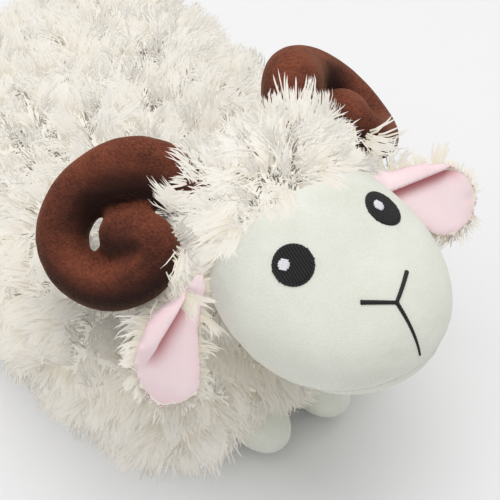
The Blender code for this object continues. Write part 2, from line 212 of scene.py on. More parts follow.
floorMaterial, floorWire, floorShader = freshMaterial("floorPaper", floorLook["roughness"])
floorGrain = floorWire.noise(floorWire.make("ShaderNodeTexCoord", out=3), floorLook["grain"])
floorGrain = floorGrain * floorLook["share"]
floorColour = floorWire.mix(floorGrain, paint(*floorLook["light"]), paint(*floorLook["shade"]))
feed(floorColour, floorShader, "Base Color")
floorShape = bmesh.new()
bmesh.ops.create_grid(floorShape, x_segments=4, y_segments=4, size=floorLook["half"])
studioFloor = newPiece("studioFloor", meshOf(floorShape, "studioFloor"), floorMaterial)
scene.view_settings.view_transform = "Standard"
print("camera, lamps and floor are in place")


# Materials

# the darker crease colours of the horn and lining piles are painted shade, laid on by a per-point
# attribute
plushLooks = dict(
    facePile=dict(
        light=(238, 239, 230), shade=(219, 221, 208), mottle=36.0, pile=1100.0, bump=0.42, sheen=0.32,
        sheenTint=(246, 248, 240), stretch=(1, 1, 1), contrast=1.25,
    ),
    hornPile=dict(
        light=(142, 75, 52), shade=(42, 16, 10), mottle=34.0, pile=620.0, bump=1.0, sheen=0.32,
        sheenTint=(250, 176, 130), stretch=(1, 0.6, 2.2), contrast=1.35, paintedShade=(34, 13, 8),
    ),
    pinkPile=dict(
        light=(255, 238, 240), shade=(252, 224, 228), mottle=50.0, pile=1500.0, bump=0.18, sheen=0.35,
        sheenTint=(252, 236, 238), stretch=(1, 1, 1), contrast=1.0, paintedShade=(212, 140, 146),
    ),
    creamBacking=dict(
        light=(246, 242, 232), shade=(236, 230, 217), mottle=70.0, pile=420.0, bump=0.6, sheen=0.3,
        sheenTint=(246, 242, 232), stretch=(1, 1, 0.5), contrast=1.0,
    ),
)
plushShading = dict(
    roughness=0.85, sheenRoughness=0.3, mottleNoise=(4.0, 0.6), pileNoise=(2.0, 0.6), share=0.9,
    middle=0.5, pileHeight=0.7, mottleHeight=0.5, bumpDepth=0.0012, roughest=0.95, roughDrop=0.18,
)


def makePlush(name):  # short dense pile: mottled where it is brushed, with a soft sheen
    look, shading = plushLooks[name], plushShading
    tint = paint(*look["sheenTint"])
    material, wire, shader = freshMaterial(
        name, shading["roughness"], look["sheen"], tint, shading["sheenRoughness"]
    )
    place = wire.make("ShaderNodeTexCoord", out=3)
    brushed = wire.noise(place, look["mottle"], *shading["mottleNoise"])
    streaky = wire.make("ShaderNodeMapping", None, {"Vector": place, "Scale": look["stretch"]})
    pile = wire.noise(streaky, look["pile"], *shading["pileNoise"])
    share = shading["share"]
    amount = (brushed * share + pile * share - share) * look["contrast"] + shading["middle"]
    colour = wire.mix(amount.clamp(), paint(*look["shade"]), paint(*look["light"]))
    # painted shade: a per-point attribute mixes in the darker colour where shade would fall
    if "paintedShade" in look:
        paintedShade = wire.make("ShaderNodeAttribute", {"attribute_name": "paintedShade"}, out=2)
        colour = wire.mix(paintedShade, colour, paint(*look["paintedShade"]))
    feed(colour, shader, "Base Color")
    height = pile * shading["pileHeight"] + brushed * shading["mottleHeight"]
    feedBump(height, shader, look["bump"], shading["bumpDepth"])
    feed(shading["roughest"] - pile * shading["roughDrop"], shader, "Roughness")
    return material


# the root colour is painted shade deep in the pile; tip, warm and cool are the fibres' own tones
furLook = dict(
    root=(226, 215, 193), tip=(243, 238, 229), warm=(238, 230, 215), cool=(241, 240, 234),
    coolShare=0.35, rise=1.5, roughness=0.7, sheen=0.3, sheenTint=(252, 250, 246), patch=(16.0, 2.0),
    patchShare=1.6, tuftShare=0.5, hueDrop=0.55, grain=(2600.0, 1.0), bump=0.15, bumpDepth=0.0004,
)


def makeFur(name):  # long pile: deeper at the root, paler at the tip, each strand its own shade
    look = furLook
    tint = paint(*look["sheenTint"])
    material, wire, shader = freshMaterial(name, look["roughness"], look["sheen"], tint)
    strand = wire.make("ShaderNodeAttribute", {"attribute_name": "strandTint"})
    along = wire.make("ShaderNodeSeparateColor", None, {"Color": strand})
    own, tuft = (Wire(wire.tree, along.socket.node.outputs[out]) for out in (1, 2))
    place = wire.make("ShaderNodeTexCoord", out=3)
    patch = wire.noise(place, *look["patch"])
    hue = (patch * look["patchShare"] + tuft * look["tuftShare"] - look["hueDrop"]).clamp()
    tip = wire.mix(hue, paint(*look["tip"]), paint(*look["warm"]))
    tip = wire.mix(own * look["coolShare"], tip, paint(*look["cool"]))
    # painted shade: each strand runs from the darker root colour to its tip colour, standing for the
    # shade deep in the pile
    rise = (along * look["rise"]).clamp()
    feed(wire.mix(rise, paint(*look["root"]), tip), shader, "Base Color")
    feedBump(wire.noise(place, *look["grain"]), shader, look["bump"], look["bumpDepth"])
    return material


threadLooks = dict(
    blackThread=dict(light=(34, 34, 33), shade=(6, 6, 7), roughness=0.55),
    whiteThread=dict(light=(250, 250, 252), shade=(214, 214, 222), roughness=0.5),
)
threadShading = dict(
    sheen=0.05, specular=0.35, stretch=(1, 1, 0.3), noise=(2400.0, 2.0, 0.6), bump=0.5,
    bumpDepth=0.0004,
)


def makeThread(name):  # shiny twisted thread, lighter on its filaments
    look, shading = threadLooks[name], threadShading
    material, wire, shader = freshMaterial(name, look["roughness"], shading["sheen"])
    shader.inputs["Specular IOR Level"].default_value = shading["specular"]
    place = wire.make("ShaderNodeTexCoord", out=3)
    streaky = wire.make("ShaderNodeMapping", None, {"Vector": place, "Scale": shading["stretch"]})
    filament = wire.noise(streaky, *shading["noise"])
    feed(wire.mix(filament, paint(*look["shade"]), paint(*look["light"])), shader, "Base Color")
    feedBump(filament, shader, shading["bump"], shading["bumpDepth"])
    return material


facePile, hornPile, pinkPile, creamBacking = (
    makePlush(name) for name in ("facePile", "hornPile", "pinkPile", "creamBacking")
)
creamFur = makeFur("creamFur")
blackThread, whiteThread = (makeThread(name) for name in ("blackThread", "whiteThread"))
print("materials are made")


# Tools for sewn and stuffed pieces

weldReach = 0.00001
puffSetup = dict(frames=14, tuck=0.0008, shrink=-0.02, quality=4)


def settle(piece):  # turns what the modifiers show into the piece's own mesh
    made = bpy.data.meshes.new_from_object(seenOf(piece))
    piece.modifiers.clear()
    old = piece.data
    piece.data = made
    made.name = old.name
    bpy.data.meshes.remove(old)


def pointsOf(mesh, field):
    values = np.empty(len(mesh.vertices) * 3)
    mesh.vertices.foreach_get(field, values)
    return values.reshape(-1, 3)


def spotsOf(piece):
    return pointsOf(piece.data, "co")


def normalsOf(piece):
    return pointsOf(piece.data, "normal")


def moveTo(piece, spots):
    piece.data.vertices.foreach_set("co", np.asarray(spots, np.float32).ravel())
    piece.data.update()


def unit(vectors):
    sizes = np.linalg.norm(vectors, axis=-1, keepdims=True)
    return vectors / np.maximum(sizes, 1e-9)


def ramp(values, start=0.0, span=1.0):
    # rises softly from 0 to 1; a size named Ramp holds the start and the span
    values = np.clip((values - start) / span, 0, 1)
    return values * values * (3 - 2 * values)


def bell(values, centre, reach):  # 1 at the centre; a size named Bell holds centre and reach
    return np.exp(-((values - centre) / reach) ** 2)


def largestIsland(shape):  # drops the crumbs that a remesh or a cut leaves
    left = set(shape.verts)
    islands = []
    while left:
        edge = [left.pop()]
        found = set(edge)
        while edge:
            vert = edge.pop()
            near = {link.other_vert(vert) for link in vert.link_edges} & left
            left -= near
            found |= near
            edge += near
        islands.append(found)
    islands.sort(key=len)
    for island in islands[:-1]:
        bmesh.ops.delete(shape, geom=list(island), context="VERTS")


def remeshed(name, nodes, voxel):  # one closed skin over copies of these CAD nodes
    shape = bmesh.new()
    for node in nodes:
        shape.from_mesh(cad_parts[node].data)
    bmesh.ops.remove_doubles(shape, verts=shape.verts, dist=weldReach)
    piece = newPiece(name, meshOf(shape, name))
    skin = piece.modifiers.new("Skin", "REMESH")
    skin.mode = "VOXEL"
    skin.voxel_size = voxel
    settle(piece)
    shape = shapeOf(piece.data)
    largestIsland(shape)
    bmesh.ops.recalc_face_normals(shape, faces=shape.faces)
    shape.to_mesh(piece.data)
    shape.free()
    return piece


def relax(piece, rounds):  # evens the skin out without losing its stuffing
    mesh = piece.data
    pairs = np.empty(len(mesh.edges) * 2, np.int64)
    mesh.edges.foreach_get("vertices", pairs)
    first, second = pairs.reshape(-1, 2).T
    count = len(mesh.vertices)
    links = np.bincount(first, minlength=count) + np.bincount(second, minlength=count)
    before = volumeOf(mesh)
    spots = spotsOf(piece)
    for step in range(rounds):
        total = np.stack([
            np.bincount(first, spots[second, axis], minlength=count)
            + np.bincount(second, spots[first, axis], minlength=count)
            for axis in range(3)
        ], 1)
        spots = spots + 0.5 * (total / np.maximum(links, 1)[:, None] - spots)
    moveTo(piece, spots)
    area = sum(face.area for face in mesh.polygons)
    moveTo(piece, spots + normalsOf(piece) * (before - volumeOf(mesh)) / area)


def volumeOf(mesh):
    shape = shapeOf(mesh)
    volume = shape.calc_volume()
    shape.free()
    return volume


def puff(piece, pressure, cap):
    # stuffing presses the cloth outwards; no point moves further than the cap
    rest = spotsOf(piece)
    moveTo(piece, rest - normalsOf(piece) * puffSetup["tuck"])
    cloth = piece.modifiers.new("Stuffing", "CLOTH")
    cloth.settings.use_pressure = True
    cloth.settings.uniform_pressure_force = pressure
    cloth.settings.shrink_min = puffSetup["shrink"]
    cloth.settings.quality = puffSetup["quality"]
    cloth.settings.effector_weights.gravity = 0
    cloth.collision_settings.use_collision = False
    cloth.point_cache.frame_start = 1
    cloth.point_cache.frame_end = puffSetup["frames"]
    for moment in range(1, puffSetup["frames"] + 1):
        scene.frame_set(moment)
    swollen = spotsOf(seenOf(piece))
    piece.modifiers.clear()
    scene.frame_set(1)
    shift = swollen - rest
    size = np.linalg.norm(shift, axis=1, keepdims=True)
    moveTo(piece, rest + shift * np.minimum(1, cap / np.maximum(size, 1e-9)))


def smoother(piece):
    finer = piece.modifiers.new("Finer", "SUBSURF")
    finer.levels = 1
    finer.render_levels = 1
    settle(piece)


def stuffed(name, nodes, size):  # a small stuffed piece over copies of these CAD nodes
    piece = remeshed(name, nodes, size["voxel"])
    relax(piece, size["relax"])
    puff(piece, size["pressure"], size["cap"])
    smoother(piece)
    return piece


# painted shade: stores, point by point, how far the pile is darkened to stand for shade
def givePaintedShade(piece, values):  # how far the pile darkens at each point
    shades = piece.data.attributes.new("paintedShade", "FLOAT", "POINT")
    shades.data.foreach_set("value", values.astype(np.float32))


def shadeSmooth(piece):
    piece.data.polygons.foreach_set("use_smooth", [True] * len(piece.data.polygons))
    piece.data.update()


def trimmed(source, name, planes, material):
    # the part of a closed form on the near side of every plane (a point and its outward side)
    shape = shapeOf(source.data)
    for point, outward in planes:
        geometry = shape.verts[:] + shape.edges[:] + shape.faces[:]
        bmesh.ops.bisect_plane(
            shape, geom=geometry, plane_co=point, plane_no=outward, clear_outer=True, dist=1e-6
        )
        rim = [edge for edge in shape.edges if edge.is_boundary]
        filled = bmesh.ops.holes_fill(shape, edges=rim, sides=0)
        bmesh.ops.triangulate(shape, faces=filled["faces"])
    piece = newPiece(name, meshOf(shape, name), material)
    shadeSmooth(piece)
    return piece


def finish(piece, body, replaced=()):
    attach(piece, body)
    if replaced:
        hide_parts(*replaced)


def treeOf(piece):
    shape = shapeOf(piece.data)
    tree = BVHTree.FromBMesh(shape)
    shape.free()
    return tree


# Body: a stuffed fur cover over a smooth belly panel

bodySize = dict(
    voxel=0.007, relax=14, pressure=3.0, cap=0.005, seamHeight=0.03, seamDepth=0.0025, seamReach=0.004,
    peltDepth=0.009, peltRamp=(0.008, 0.03),
)

bodyForm = remeshed("bodyForm", ["body_fur_cover", "belly_panel", "body_stuffing"], bodySize["voxel"])
relax(bodyForm, bodySize["relax"])
puff(bodyForm, bodySize["pressure"], bodySize["cap"])
spots = spotsOf(bodyForm)
# the woven ground lies deep under the pile
pelt = bodySize["peltDepth"] * ramp(spots[:, 2], *bodySize["peltRamp"])
spots = spots - normalsOf(bodyForm) * pelt[:, None]
moveTo(bodyForm, spots)
seamPull = bell(spots[:, 2], bodySize["seamHeight"], bodySize["seamReach"]) * bodySize["seamDepth"]
spots = spots - normalsOf(bodyForm) * seamPull[:, None]
spots[:, 2] = np.maximum(spots[:, 2], 0.0)
moveTo(bodyForm, spots)
seamSpot = (0, 0, bodySize["seamHeight"])
bodyCover = trimmed(bodyForm, "bodyCover", [(seamSpot, (0, 0, -1))], creamBacking)
bellyPanel = trimmed(bodyForm, "bellyPanel", [(seamSpot, (0, 0, 1))], facePile)
finish(bodyCover, "torso", ["body_fur_cover", "body_stuffing"])
finish(bellyPanel, "torso", ["belly_panel"])
print("body form is made")


# Neck: a short stuffed tube that the fur hides

neckSize = dict(voxel=0.006, relax=3)
neckForm = remeshed("neckSleeve", ["neck"], neckSize["voxel"])
relax(neckForm, neckSize["relax"])
neckForm.data.materials.append(creamBacking)
shadeSmooth(neckForm)
finish(neckForm, "neck", ["neck"])


# Head: one stuffed form, with a smooth face panel and chin gusset sewn to a fur hood

headSize = dict(
    voxel=0.004, relax=16, pressure=3.5, cap=0.004, padding=0.0033, paddingRamp=(-0.003, 0.005),
    cheek=(-0.1375, 0.159), hairline=(-0.155, 0.2155), stuffedTo=(-0.1705, 0.206),
    throat=(-0.1775, 0.119), chin=(-0.2655, 0.145), seamDepth=0.0016, seamReach=0.0035, pileReach=0.03,
    pileShare=0.85, pileRise=0.03, tuckDepth=0.002, tuckReach=0.004, hoodRelax=3,
)


def seamPlane(start, end):  # the plane across the head through two seam points in y and z
    run = (Vector(end) - Vector(start)).normalized()
    return Vector((0, start[0], start[1])), Vector((0, run.y, -run.x))


def beyond(spots, plane):  # how far spots lie on a plane's outward side
    return (spots - np.array(plane[0])) @ np.array(plane[1])


upper = seamPlane(headSize["cheek"], headSize["hairline"])
lower = seamPlane(headSize["throat"], headSize["cheek"])
chin = seamPlane(headSize["chin"], headSize["throat"])
stuffedTo = seamPlane(headSize["cheek"], headSize["stuffedTo"])


def behindSeams(spots, front):  # how far spots lie behind a front plane or the lower seam
    return np.maximum(beyond(spots, front), beyond(spots, lower))


headForm = remeshed("headForm", ["face_panel", "chin_gusset", "head_stuffing"], headSize["voxel"])
spots = spotsOf(headForm)
padding = headSize["padding"] * ramp(behindSeams(spots, stuffedTo), *headSize["paddingRamp"])
moveTo(headForm, spots + normalsOf(headForm) * padding[:, None])
relax(headForm, headSize["relax"])
puff(headForm, headSize["pressure"], headSize["cap"])
smoother(headForm)
spots = spotsOf(headForm)
pull = np.zeros(len(spots))
for plane in (upper, lower, chin):
    seam = headSize["seamDepth"] * bell(beyond(spots, plane), 0, headSize["seamReach"])
    pull = np.maximum(pull, seam)
moveTo(headForm, spots - normalsOf(headForm) * pull[:, None])

pileForm = remeshed("pileForm", ["face_panel", "head_fur_hood", "head_stuffing"], headSize["voxel"])
relax(pileForm, headSize["relax"])
pileTree = treeOf(pileForm)
hoodForm = newPiece("headHood", headForm.data.copy(), creamBacking)
spots = spotsOf(hoodForm)
behind = behindSeams(spots, upper)
facePanel = trimmed(headForm, "facePlush", [upper, lower, chin], facePile)
chinPanel = trimmed(headForm, "chinPlush", [lower, (chin[0], -chin[1])], facePile)
depths = np.zeros(len(spots))  # the hood's matted pile thickens from the seams to the crown
for index in np.flatnonzero(behind > 0):
    outward = hoodForm.data.vertices[index].normal
    hit = pileTree.ray_cast(Vector(spots[index]), outward, headSize["pileReach"])
    depths[index] = hit[3] if hit[0] else 0
depths = depths * headSize["pileShare"] * ramp(behind, 0, headSize["pileRise"])
depths = depths - headSize["tuckDepth"] * ramp(1 - behind / headSize["tuckReach"])
moveTo(hoodForm, spots + normalsOf(hoodForm) * depths[:, None])
relax(hoodForm, headSize["hoodRelax"])
bpy.data.objects.remove(pileForm)
shadeSmooth(hoodForm)
finish(hoodForm, "head", ["head_fur_hood", "head_stuffing"])
finish(facePanel, "head", ["face_panel"])
finish(chinPanel, "head", ["chin_gusset"])
print("head is made")


# Horns: curled brown tubes

# the horn's first direction points up towards the light; its ramp sets where the painted shade starts
hornSize = dict(
    voxel=0.003, relax=5, pressure=4.0, cap=0.0025, litWay=(0.25, 0.45, 0.86), litRamp=(-0.45, 1.35),
)
horns = {}
for side in sides:
    horn = stuffed(f"hornPlush_{side}", [f"horn_{side}"], hornSize)
    # painted shade: the roll darkens where its surface turns down, away from the light above
    towardLight = normalsOf(horn) @ np.array(hornSize["litWay"])
    givePaintedShade(horn, 1 - ramp(towardLight, *hornSize["litRamp"]))  # darker low on the roll
    horn.data.materials.append(hornPile)
    shadeSmooth(horn)
    finish(horn, "head", [f"horn_{side}"])
    horns[side] = horn
print("horns are made")


# Ears: puffy leaves with a pink lining, one edge folded in from the root

earSize = dict(
    voxel=0.0022, relax=6, pressure=3.0, cap=0.0035, length=0.09, halfWidth=0.031, rootWidth=0.35,
    widthRise=0.75, widestAt=0.7, tipFrom=0.058, tipTo=0.092, tipRound=0.62,
    # the fold: a rolled lobe beside a valley, fading at the root and towards the tip
    foldFade=0.02, rootRamp=(0, 0.01), valleyBell=(0, 0.009), valleyRamp=(0, 0.002),
    lobeRamp=(0, 0.0035), lobeFlat=0.55, lobeRound=0.45, lobeBell=(0.004, 0.006), overhang=0.003,
    overhangBell=(0.003, 0.0025),
    # painted shade on the pink lining: where it darkens in the crease and along the rim
    creaseFrom=0.001, creaseBell=(0, 0.006), creaseEnd=0.002, rimFrom=0.25, tipRamp=(0.062, 0.026),
    rimShade=0.34, liningTurn=-0.35, rimRounds=40, thickness=0.0009,
    # bend and fold are given at distances along the ear from its root
    left=dict(
        root=(0.0735, -0.144, 0.171), hang=(0.77, -0.55, -0.36), facing=(-0.3, -0.55, 0.7), widen=1.16,
        bendAt=(0, 0.01, 0.05, 0.08), bend=(0, -0.004, -0.004, -0.003), foldAt=(0.009, 0.051),
        fold=(-0.0085, 0.018), foldEnd=0.048, lobe=0.005, valley=0.004, lobeSide=1,
    ),
    right=dict(
        root=(-0.0735, -0.144, 0.171), hang=(-0.5, -0.18, -0.6), facing=(-0.3, -0.75, 0.6), widen=1.0,
        bendAt=(0, 0.024, 0.045, 0.065, 0.08), bend=(0, -0.0062, -0.0032, 0.002, 0.0055),
        foldAt=(0.001, 0.038), fold=(-0.0045, -0.0134), foldEnd=0.038, lobe=0.0075, valley=0.0045,
        lobeSide=-1,
    ),
)


def earFrame(side):  # root, then unit directions along, across and out of the lining
    setup = earSize[side]
    along = Vector(setup["hang"]).normalized()
    facing = Vector(setup["facing"])
    facing = (facing - along * facing.dot(along)).normalized()
    across = along.cross(facing)
    pictureRight = camera.matrix_world.to_3x3().col[0]
    if across.dot(pictureRight) < 0:
        across = -across
    return [np.array(part) for part in (setup["root"], along, across, facing)]


def inEar(side, spots):
    root, along, across, facing = earFrame(side)
    offset = spots - root
    return offset @ along, offset @ across, offset @ facing


def earWidth(along):  # half the ear's width at this distance from its root
    rise = ramp(along / earSize["length"], 0, earSize["widestAt"])
    return earSize["halfWidth"] * (earSize["rootWidth"] + earSize["widthRise"] * rise)


def evenRims(shape, rounds):  # smooths the open edges of a cut-out cloth part
    rims = [vert for vert in shape.verts if vert.is_boundary]
    for step in range(rounds):
        moved = {}
        for vert in rims:
            beside = [edge.other_vert(vert).co for edge in vert.link_edges if edge.is_boundary]
            moved[vert] = vert.co.lerp(sum(beside, Vector()) / len(beside), 0.5)
        for vert, spot in moved.items():
            vert.co = spot


ears = {}
for side in sides:
    setup = earSize[side]
    earForm = stuffed(f"earForm_{side}", [f"ear_back_{side}", f"ear_lining_{side}"], earSize)
    along, across = inEar(side, spotsOf(earForm))[:2]
    acrossWay, facing = earFrame(side)[2:]
    tipShare = np.clip((along - earSize["tipFrom"]) / (earSize["tipTo"] - earSize["tipFrom"]), 0, 1)
    rounded = np.sqrt(1 - earSize["tipRound"] * tipShare ** 2)
    bent = across * setup["widen"] * rounded + np.interp(along, setup["bendAt"], setup["bend"])
    past = (bent - np.interp(along, setup["foldAt"], setup["fold"])) * setup["lobeSide"]
    fade = 1 - ramp(along, setup["foldEnd"], earSize["foldFade"])
    fade = fade * ramp(along, *earSize["rootRamp"])
    top = np.clip(normalsOf(earForm) @ facing, 0, 1)
    valley = setup["valley"] * bell(np.minimum(past, 0), *earSize["valleyBell"])
    valley = valley * (1 - ramp(past, *earSize["valleyRamp"]))
    lobe = setup["lobe"] * ramp(past, *earSize["lobeRamp"]) * top
    lobe = lobe * (earSize["lobeFlat"] + earSize["lobeRound"] * bell(past, *earSize["lobeBell"]))
    overhang = earSize["overhang"] * bell(past, *earSize["overhangBell"]) * top
    overhang = overhang * setup["lobeSide"]
    shift = (bent - across - overhang * fade)[:, None] * acrossWay
    shift = shift + facing * ((lobe - valley * top) * fade)[:, None]
    moveTo(earForm, spotsOf(earForm) + shift)
    # painted shade: the lining darkens in the fold's crease and towards its rim and tip
    deep = bell(np.maximum(-past - earSize["creaseFrom"], 0), *earSize["creaseBell"])
    deep = deep * (past < earSize["creaseEnd"]) * fade * top
    atSides = ramp(np.abs(across) / earWidth(along) - earSize["rimFrom"])
    nearRim = np.maximum(atSides, ramp(along, *earSize["tipRamp"]))
    givePaintedShade(earForm, np.maximum(deep, earSize["rimShade"] * nearRim))
    top = normalsOf(earForm) @ facing
    shape = shapeOf(earForm.data)
    for kind, material, slot in (("Lining", pinkPile, "pink_plush"), ("Back", creamBacking, "cream_fur")):
        part = shape.copy()
        faces = []
        for face in part.faces:
            turn = np.mean([top[vert.index] for vert in face.verts])
            if (turn > earSize["liningTurn"]) != (kind == "Lining"):
                faces.append(face)
        bmesh.ops.delete(part, geom=faces, context="FACES")
        largestIsland(part)
        evenRims(part, earSize["rimRounds"])
        name = f"ear{kind}_{side}"
        piece = newPiece(name, meshOf(part, name), material)
        cloth = piece.modifiers.new("Cloth thickness", "SOLIDIFY")
        cloth.thickness = earSize["thickness"]
        cloth.offset = -1
        settle(piece)
        shadeSmooth(piece)
        finish(piece, f"ear_{side}", [f"ear_{kind.lower()}_{side}"])
    shape.free()
    ears[side] = earForm
print("ears are made")


# Feet and tail: small stuffed stubs

stubSize = dict(voxel=0.003, relax=8, pressure=3.5, cap=0.003)
feet = ("front_foot_left", "front_foot_right", "hind_foot_left", "hind_foot_right")
stubs = {}
for name in (*feet, "tail"):
    material, slot = (facePile, "smooth_cream_plush") if name in feet else (creamBacking, "cream_fur")
    stub = stuffed(f"{name}_plush", [name], stubSize)
    spots = spotsOf(stub)
    spots[:, 2] = np.maximum(spots[:, 2], 0.0)
    moveTo(stub, spots)
    stub.data.materials.append(material)
    shadeSmooth(stub)
    finish(stub, name, [name])
    stubs[name] = stub
print("feet and tail are made")


# Embroidery: rows of thread laid on the face

eyeSize = dict(
    centre=(0.0342, -0.1855, 0.195), look=(0.45, -0.53, 0.72), radius=0.0123, spacing=0.00165,
    thread=0.00098, lift=0.0001, rowWay=(0.55, -0.84, 0),
)
glintSize = dict(
    offset=(-0.0042, 0.0035, 0.0), radius=0.0036, spacing=0.0013, thread=0.00075, lift=0.0011,
    rowWay=(0.97, -0.2, 0),
)
mouthSize = dict(
    centre=(0, -0.238, 0.182), slope=45, arm=(0.019, 0.011), stem=0.035, thread=0.00135, stitch=0.0009,
)
threadShape = dict(
    probe=0.05, bevel=3, endGap=0.3, step=0.001, fewest=5, rimPoints=72, rimInset=0.6,
    # the least thickness and what every second point adds to it
    rowTwist=(0.94, 0.1), rimTwist=(0.8, 0.22), mouthTwist=(0.9, 0.2),
)
faceTree = treeOf(headForm)


def onFace(spot, look, lift):  # the point of the face under a spot, raised by lift
    look = look.normalized()
    start = spot + look * threadShape["probe"]
    hit, normal, index, distance = faceTree.ray_cast(start, -look)
    return (hit + normal * lift) if hit else None


def laid(spots, look, lift, threads, kind, closed=False):
    # a twisted thread along these spots, thicker at every second point
    least, more = threadShape[kind]
    points = [onFace(spot, look, lift) for spot in spots]
    radii = [thread * (least + more * (place % 2)) for place, thread in enumerate(threads)]
    return points, radii, closed


def threadPiece(name, lines, material, node):
    # each line is its points and their radii; a closed line is marked by True
    data = bpy.data.curves.new(name, "CURVE")
    data.dimensions = "3D"
    data.bevel_depth = 1.0
    data.bevel_resolution = threadShape["bevel"]
    data.use_fill_caps = True
    for points, radii, closed in lines:
        spline = data.splines.new("POLY")
        spline.points.add(len(points) - 1)
        for place, spot, radius in zip(spline.points, points, radii):
            place.co = (*spot, 1)
            place.radius = radius
        spline.use_cyclic_u = closed
    holder = bpy.data.objects.new(name, data)
    scene.collection.objects.link(holder)
    mesh = bpy.data.meshes.new_from_object(seenOf(holder))
    bpy.data.objects.remove(holder)
    shape = shapeOf(mesh)
    bmesh.ops.remove_doubles(shape, verts=shape.verts, dist=1e-7)
    bmesh.ops.recalc_face_normals(shape, faces=shape.faces)
    shape.to_mesh(mesh)
    shape.free()
    mesh.name = name
    piece = newPiece(name, mesh, material)
    shadeSmooth(piece)
    finish(piece, "head", [node])


def satinDisc(centre, look, size, rim):  # rows of thread that fill a disc, and its rim
    look = look.normalized()
    rowWay = pictureTurn @ Vector(size["rowWay"])
    rowWay = (rowWay - look * rowWay.dot(look)).normalized()
    step = look.cross(rowWay)
    radius, spacing, thread = size["radius"], size["spacing"], size["thread"]
    lines = []
    rows = int(radius / spacing)
    for row in range(-rows, rows + 1):
        offset = row * spacing
        half = math.sqrt(max(radius * radius - offset * offset, 0))
        half = half - thread * threadShape["endGap"]
        if half < thread:
            continue
        count = max(threadShape["fewest"], int(half / threadShape["step"]))
        middle = centre + step * offset
        ends = [half * (2 * place / count - 1) for place in range(count + 1)]
        spots = [middle + rowWay * end for end in ends]
        lines.append(laid(spots, look, size["lift"], [thread] * len(spots), "rowTwist"))
    if rim:
        around = threadShape["rimPoints"]
        inset = radius - thread * threadShape["rimInset"]
        turns = [2 * math.pi * place / around for place in range(around)]
        ways = [rowWay * math.cos(turn) + step * math.sin(turn) for turn in turns]
        spots = [centre + way * inset for way in ways]
        lines.append(laid(spots, look, size["lift"], [thread] * around, "rimTwist", True))
    return lines


pictureTurn = camera.matrix_world.to_3x3()
for side, sign in (("left", 1), ("right", -1)):
    centre = Vector(eyeSize["centre"])
    centre.x *= sign
    look = Vector(eyeSize["look"])
    look.x *= sign
    lines = satinDisc(centre, look, eyeSize, True)
    threadPiece(f"eyeThread_{side}", lines, blackThread, f"eye_{side}")
    glint = centre + Vector(glintSize["offset"])
    lines = satinDisc(glint, look, glintSize, False)
    threadPiece(f"glintThread_{side}", lines, whiteThread, f"eye_glint_{side}")


slope = math.radians(mouthSize["slope"])
mouthLook = Vector((0, -math.cos(slope), math.sin(slope)))
mouthUp = Vector((0, math.sin(slope), math.cos(slope)))
mouthCentre = Vector(mouthSize["centre"])
armOut, armUp = mouthSize["arm"]


def mouthLine(end, first, last):  # a stitched stroke from the centre, with a swell for each end
    count = int((end - mouthCentre).length / mouthSize["stitch"])
    shares = [place / count for place in range(count + 1)]
    spots = [mouthCentre.lerp(end, share) for share in shares]
    threads = [mouthSize["thread"] * (first + (last - first) * share) for share in shares]
    return laid(spots, mouthLook, 0.0, threads, "mouthTwist")


strokes = [
    mouthLine(mouthCentre + Vector((armOut, 0, 0)) + mouthUp * armUp, 0.9, 1.05),
    mouthLine(mouthCentre - Vector((armOut, 0, 0)) + mouthUp * armUp, 0.9, 1.1),
    mouthLine(mouthCentre - mouthUp * mouthSize["stem"], 1.0, 0.55),
]
threadPiece("mouthThread", strokes, blackThread, "mouth_stitching")
print("embroidery is made")


# Fur: strands in tufts, each tuft leaning its own way

# lift, flow, droop, wander and stray weigh the way a strand leans; gather draws its tip to its tuft's
furCommon = dict(
    pieces=1, vary=0.3, lift=0.7, wander=0.5, gather=(0.1, 0.6), width=0.0012, sink=0.003, offLining=True,
)
strandShape = dict(
    stations=(0.0, 0.42, 0.84, 1.0), taper=(0.8, 1.0, 0.72), thickness=0.8, sizes=(0.72, 1.12),
    widths=(0.65, 1.3), archUp=0.42, archAlong=0.22, tipStray=0.0012, floorGap=0.0012, faceUp=0.6,
    faceStray=0.45, fewestTufts=4,
    # how much its own turn, the sky and the skin shade a strand
    ownShade=0.3, skyShade=1.1, skinShade=0.3,
    # how far fur may pass the CAD's box, and the least share left of a strand
    proud=(0.017, 0.023, 0.0155), shortest=0.2,
    # how strands keep clear of other pieces
    search=0.01, deepest=-0.007,
)
strandPoints = 10  # three rings of three, and the tip
liningZone = dict(start=0.021, past=0.004, under=-0.006, over=0.05)


def skinSpots(piece, count, rng):  # even random spots on a skin, with the skin's normals
    mesh = piece.data
    mesh.calc_loop_triangles()
    corners = np.empty(len(mesh.loop_triangles) * 3, np.int32)
    mesh.loop_triangles.foreach_get("vertices", corners)
    corners = corners.reshape(-1, 3)
    places, normals = spotsOf(piece), normalsOf(piece)
    a, b, c = (places[corners[:, k]] for k in range(3))
    areas = np.linalg.norm(np.cross(b - a, c - a), axis=1)
    chosen = rng.choice(len(areas), count, p=areas / areas.sum())
    u, v = rng.random(count), rng.random(count)
    flip = u + v > 1
    u[flip], v[flip] = 1 - u[flip], 1 - v[flip]
    weights = np.stack([1 - u - v, u, v], 1)[:, :, None]
    trio = corners[chosen]
    return (places[trio] * weights).sum(1), unit((normals[trio] * weights).sum(1))


def alongSkin(vectors, normals):
    return vectors - normals * (vectors * normals).sum(1, keepdims=True)


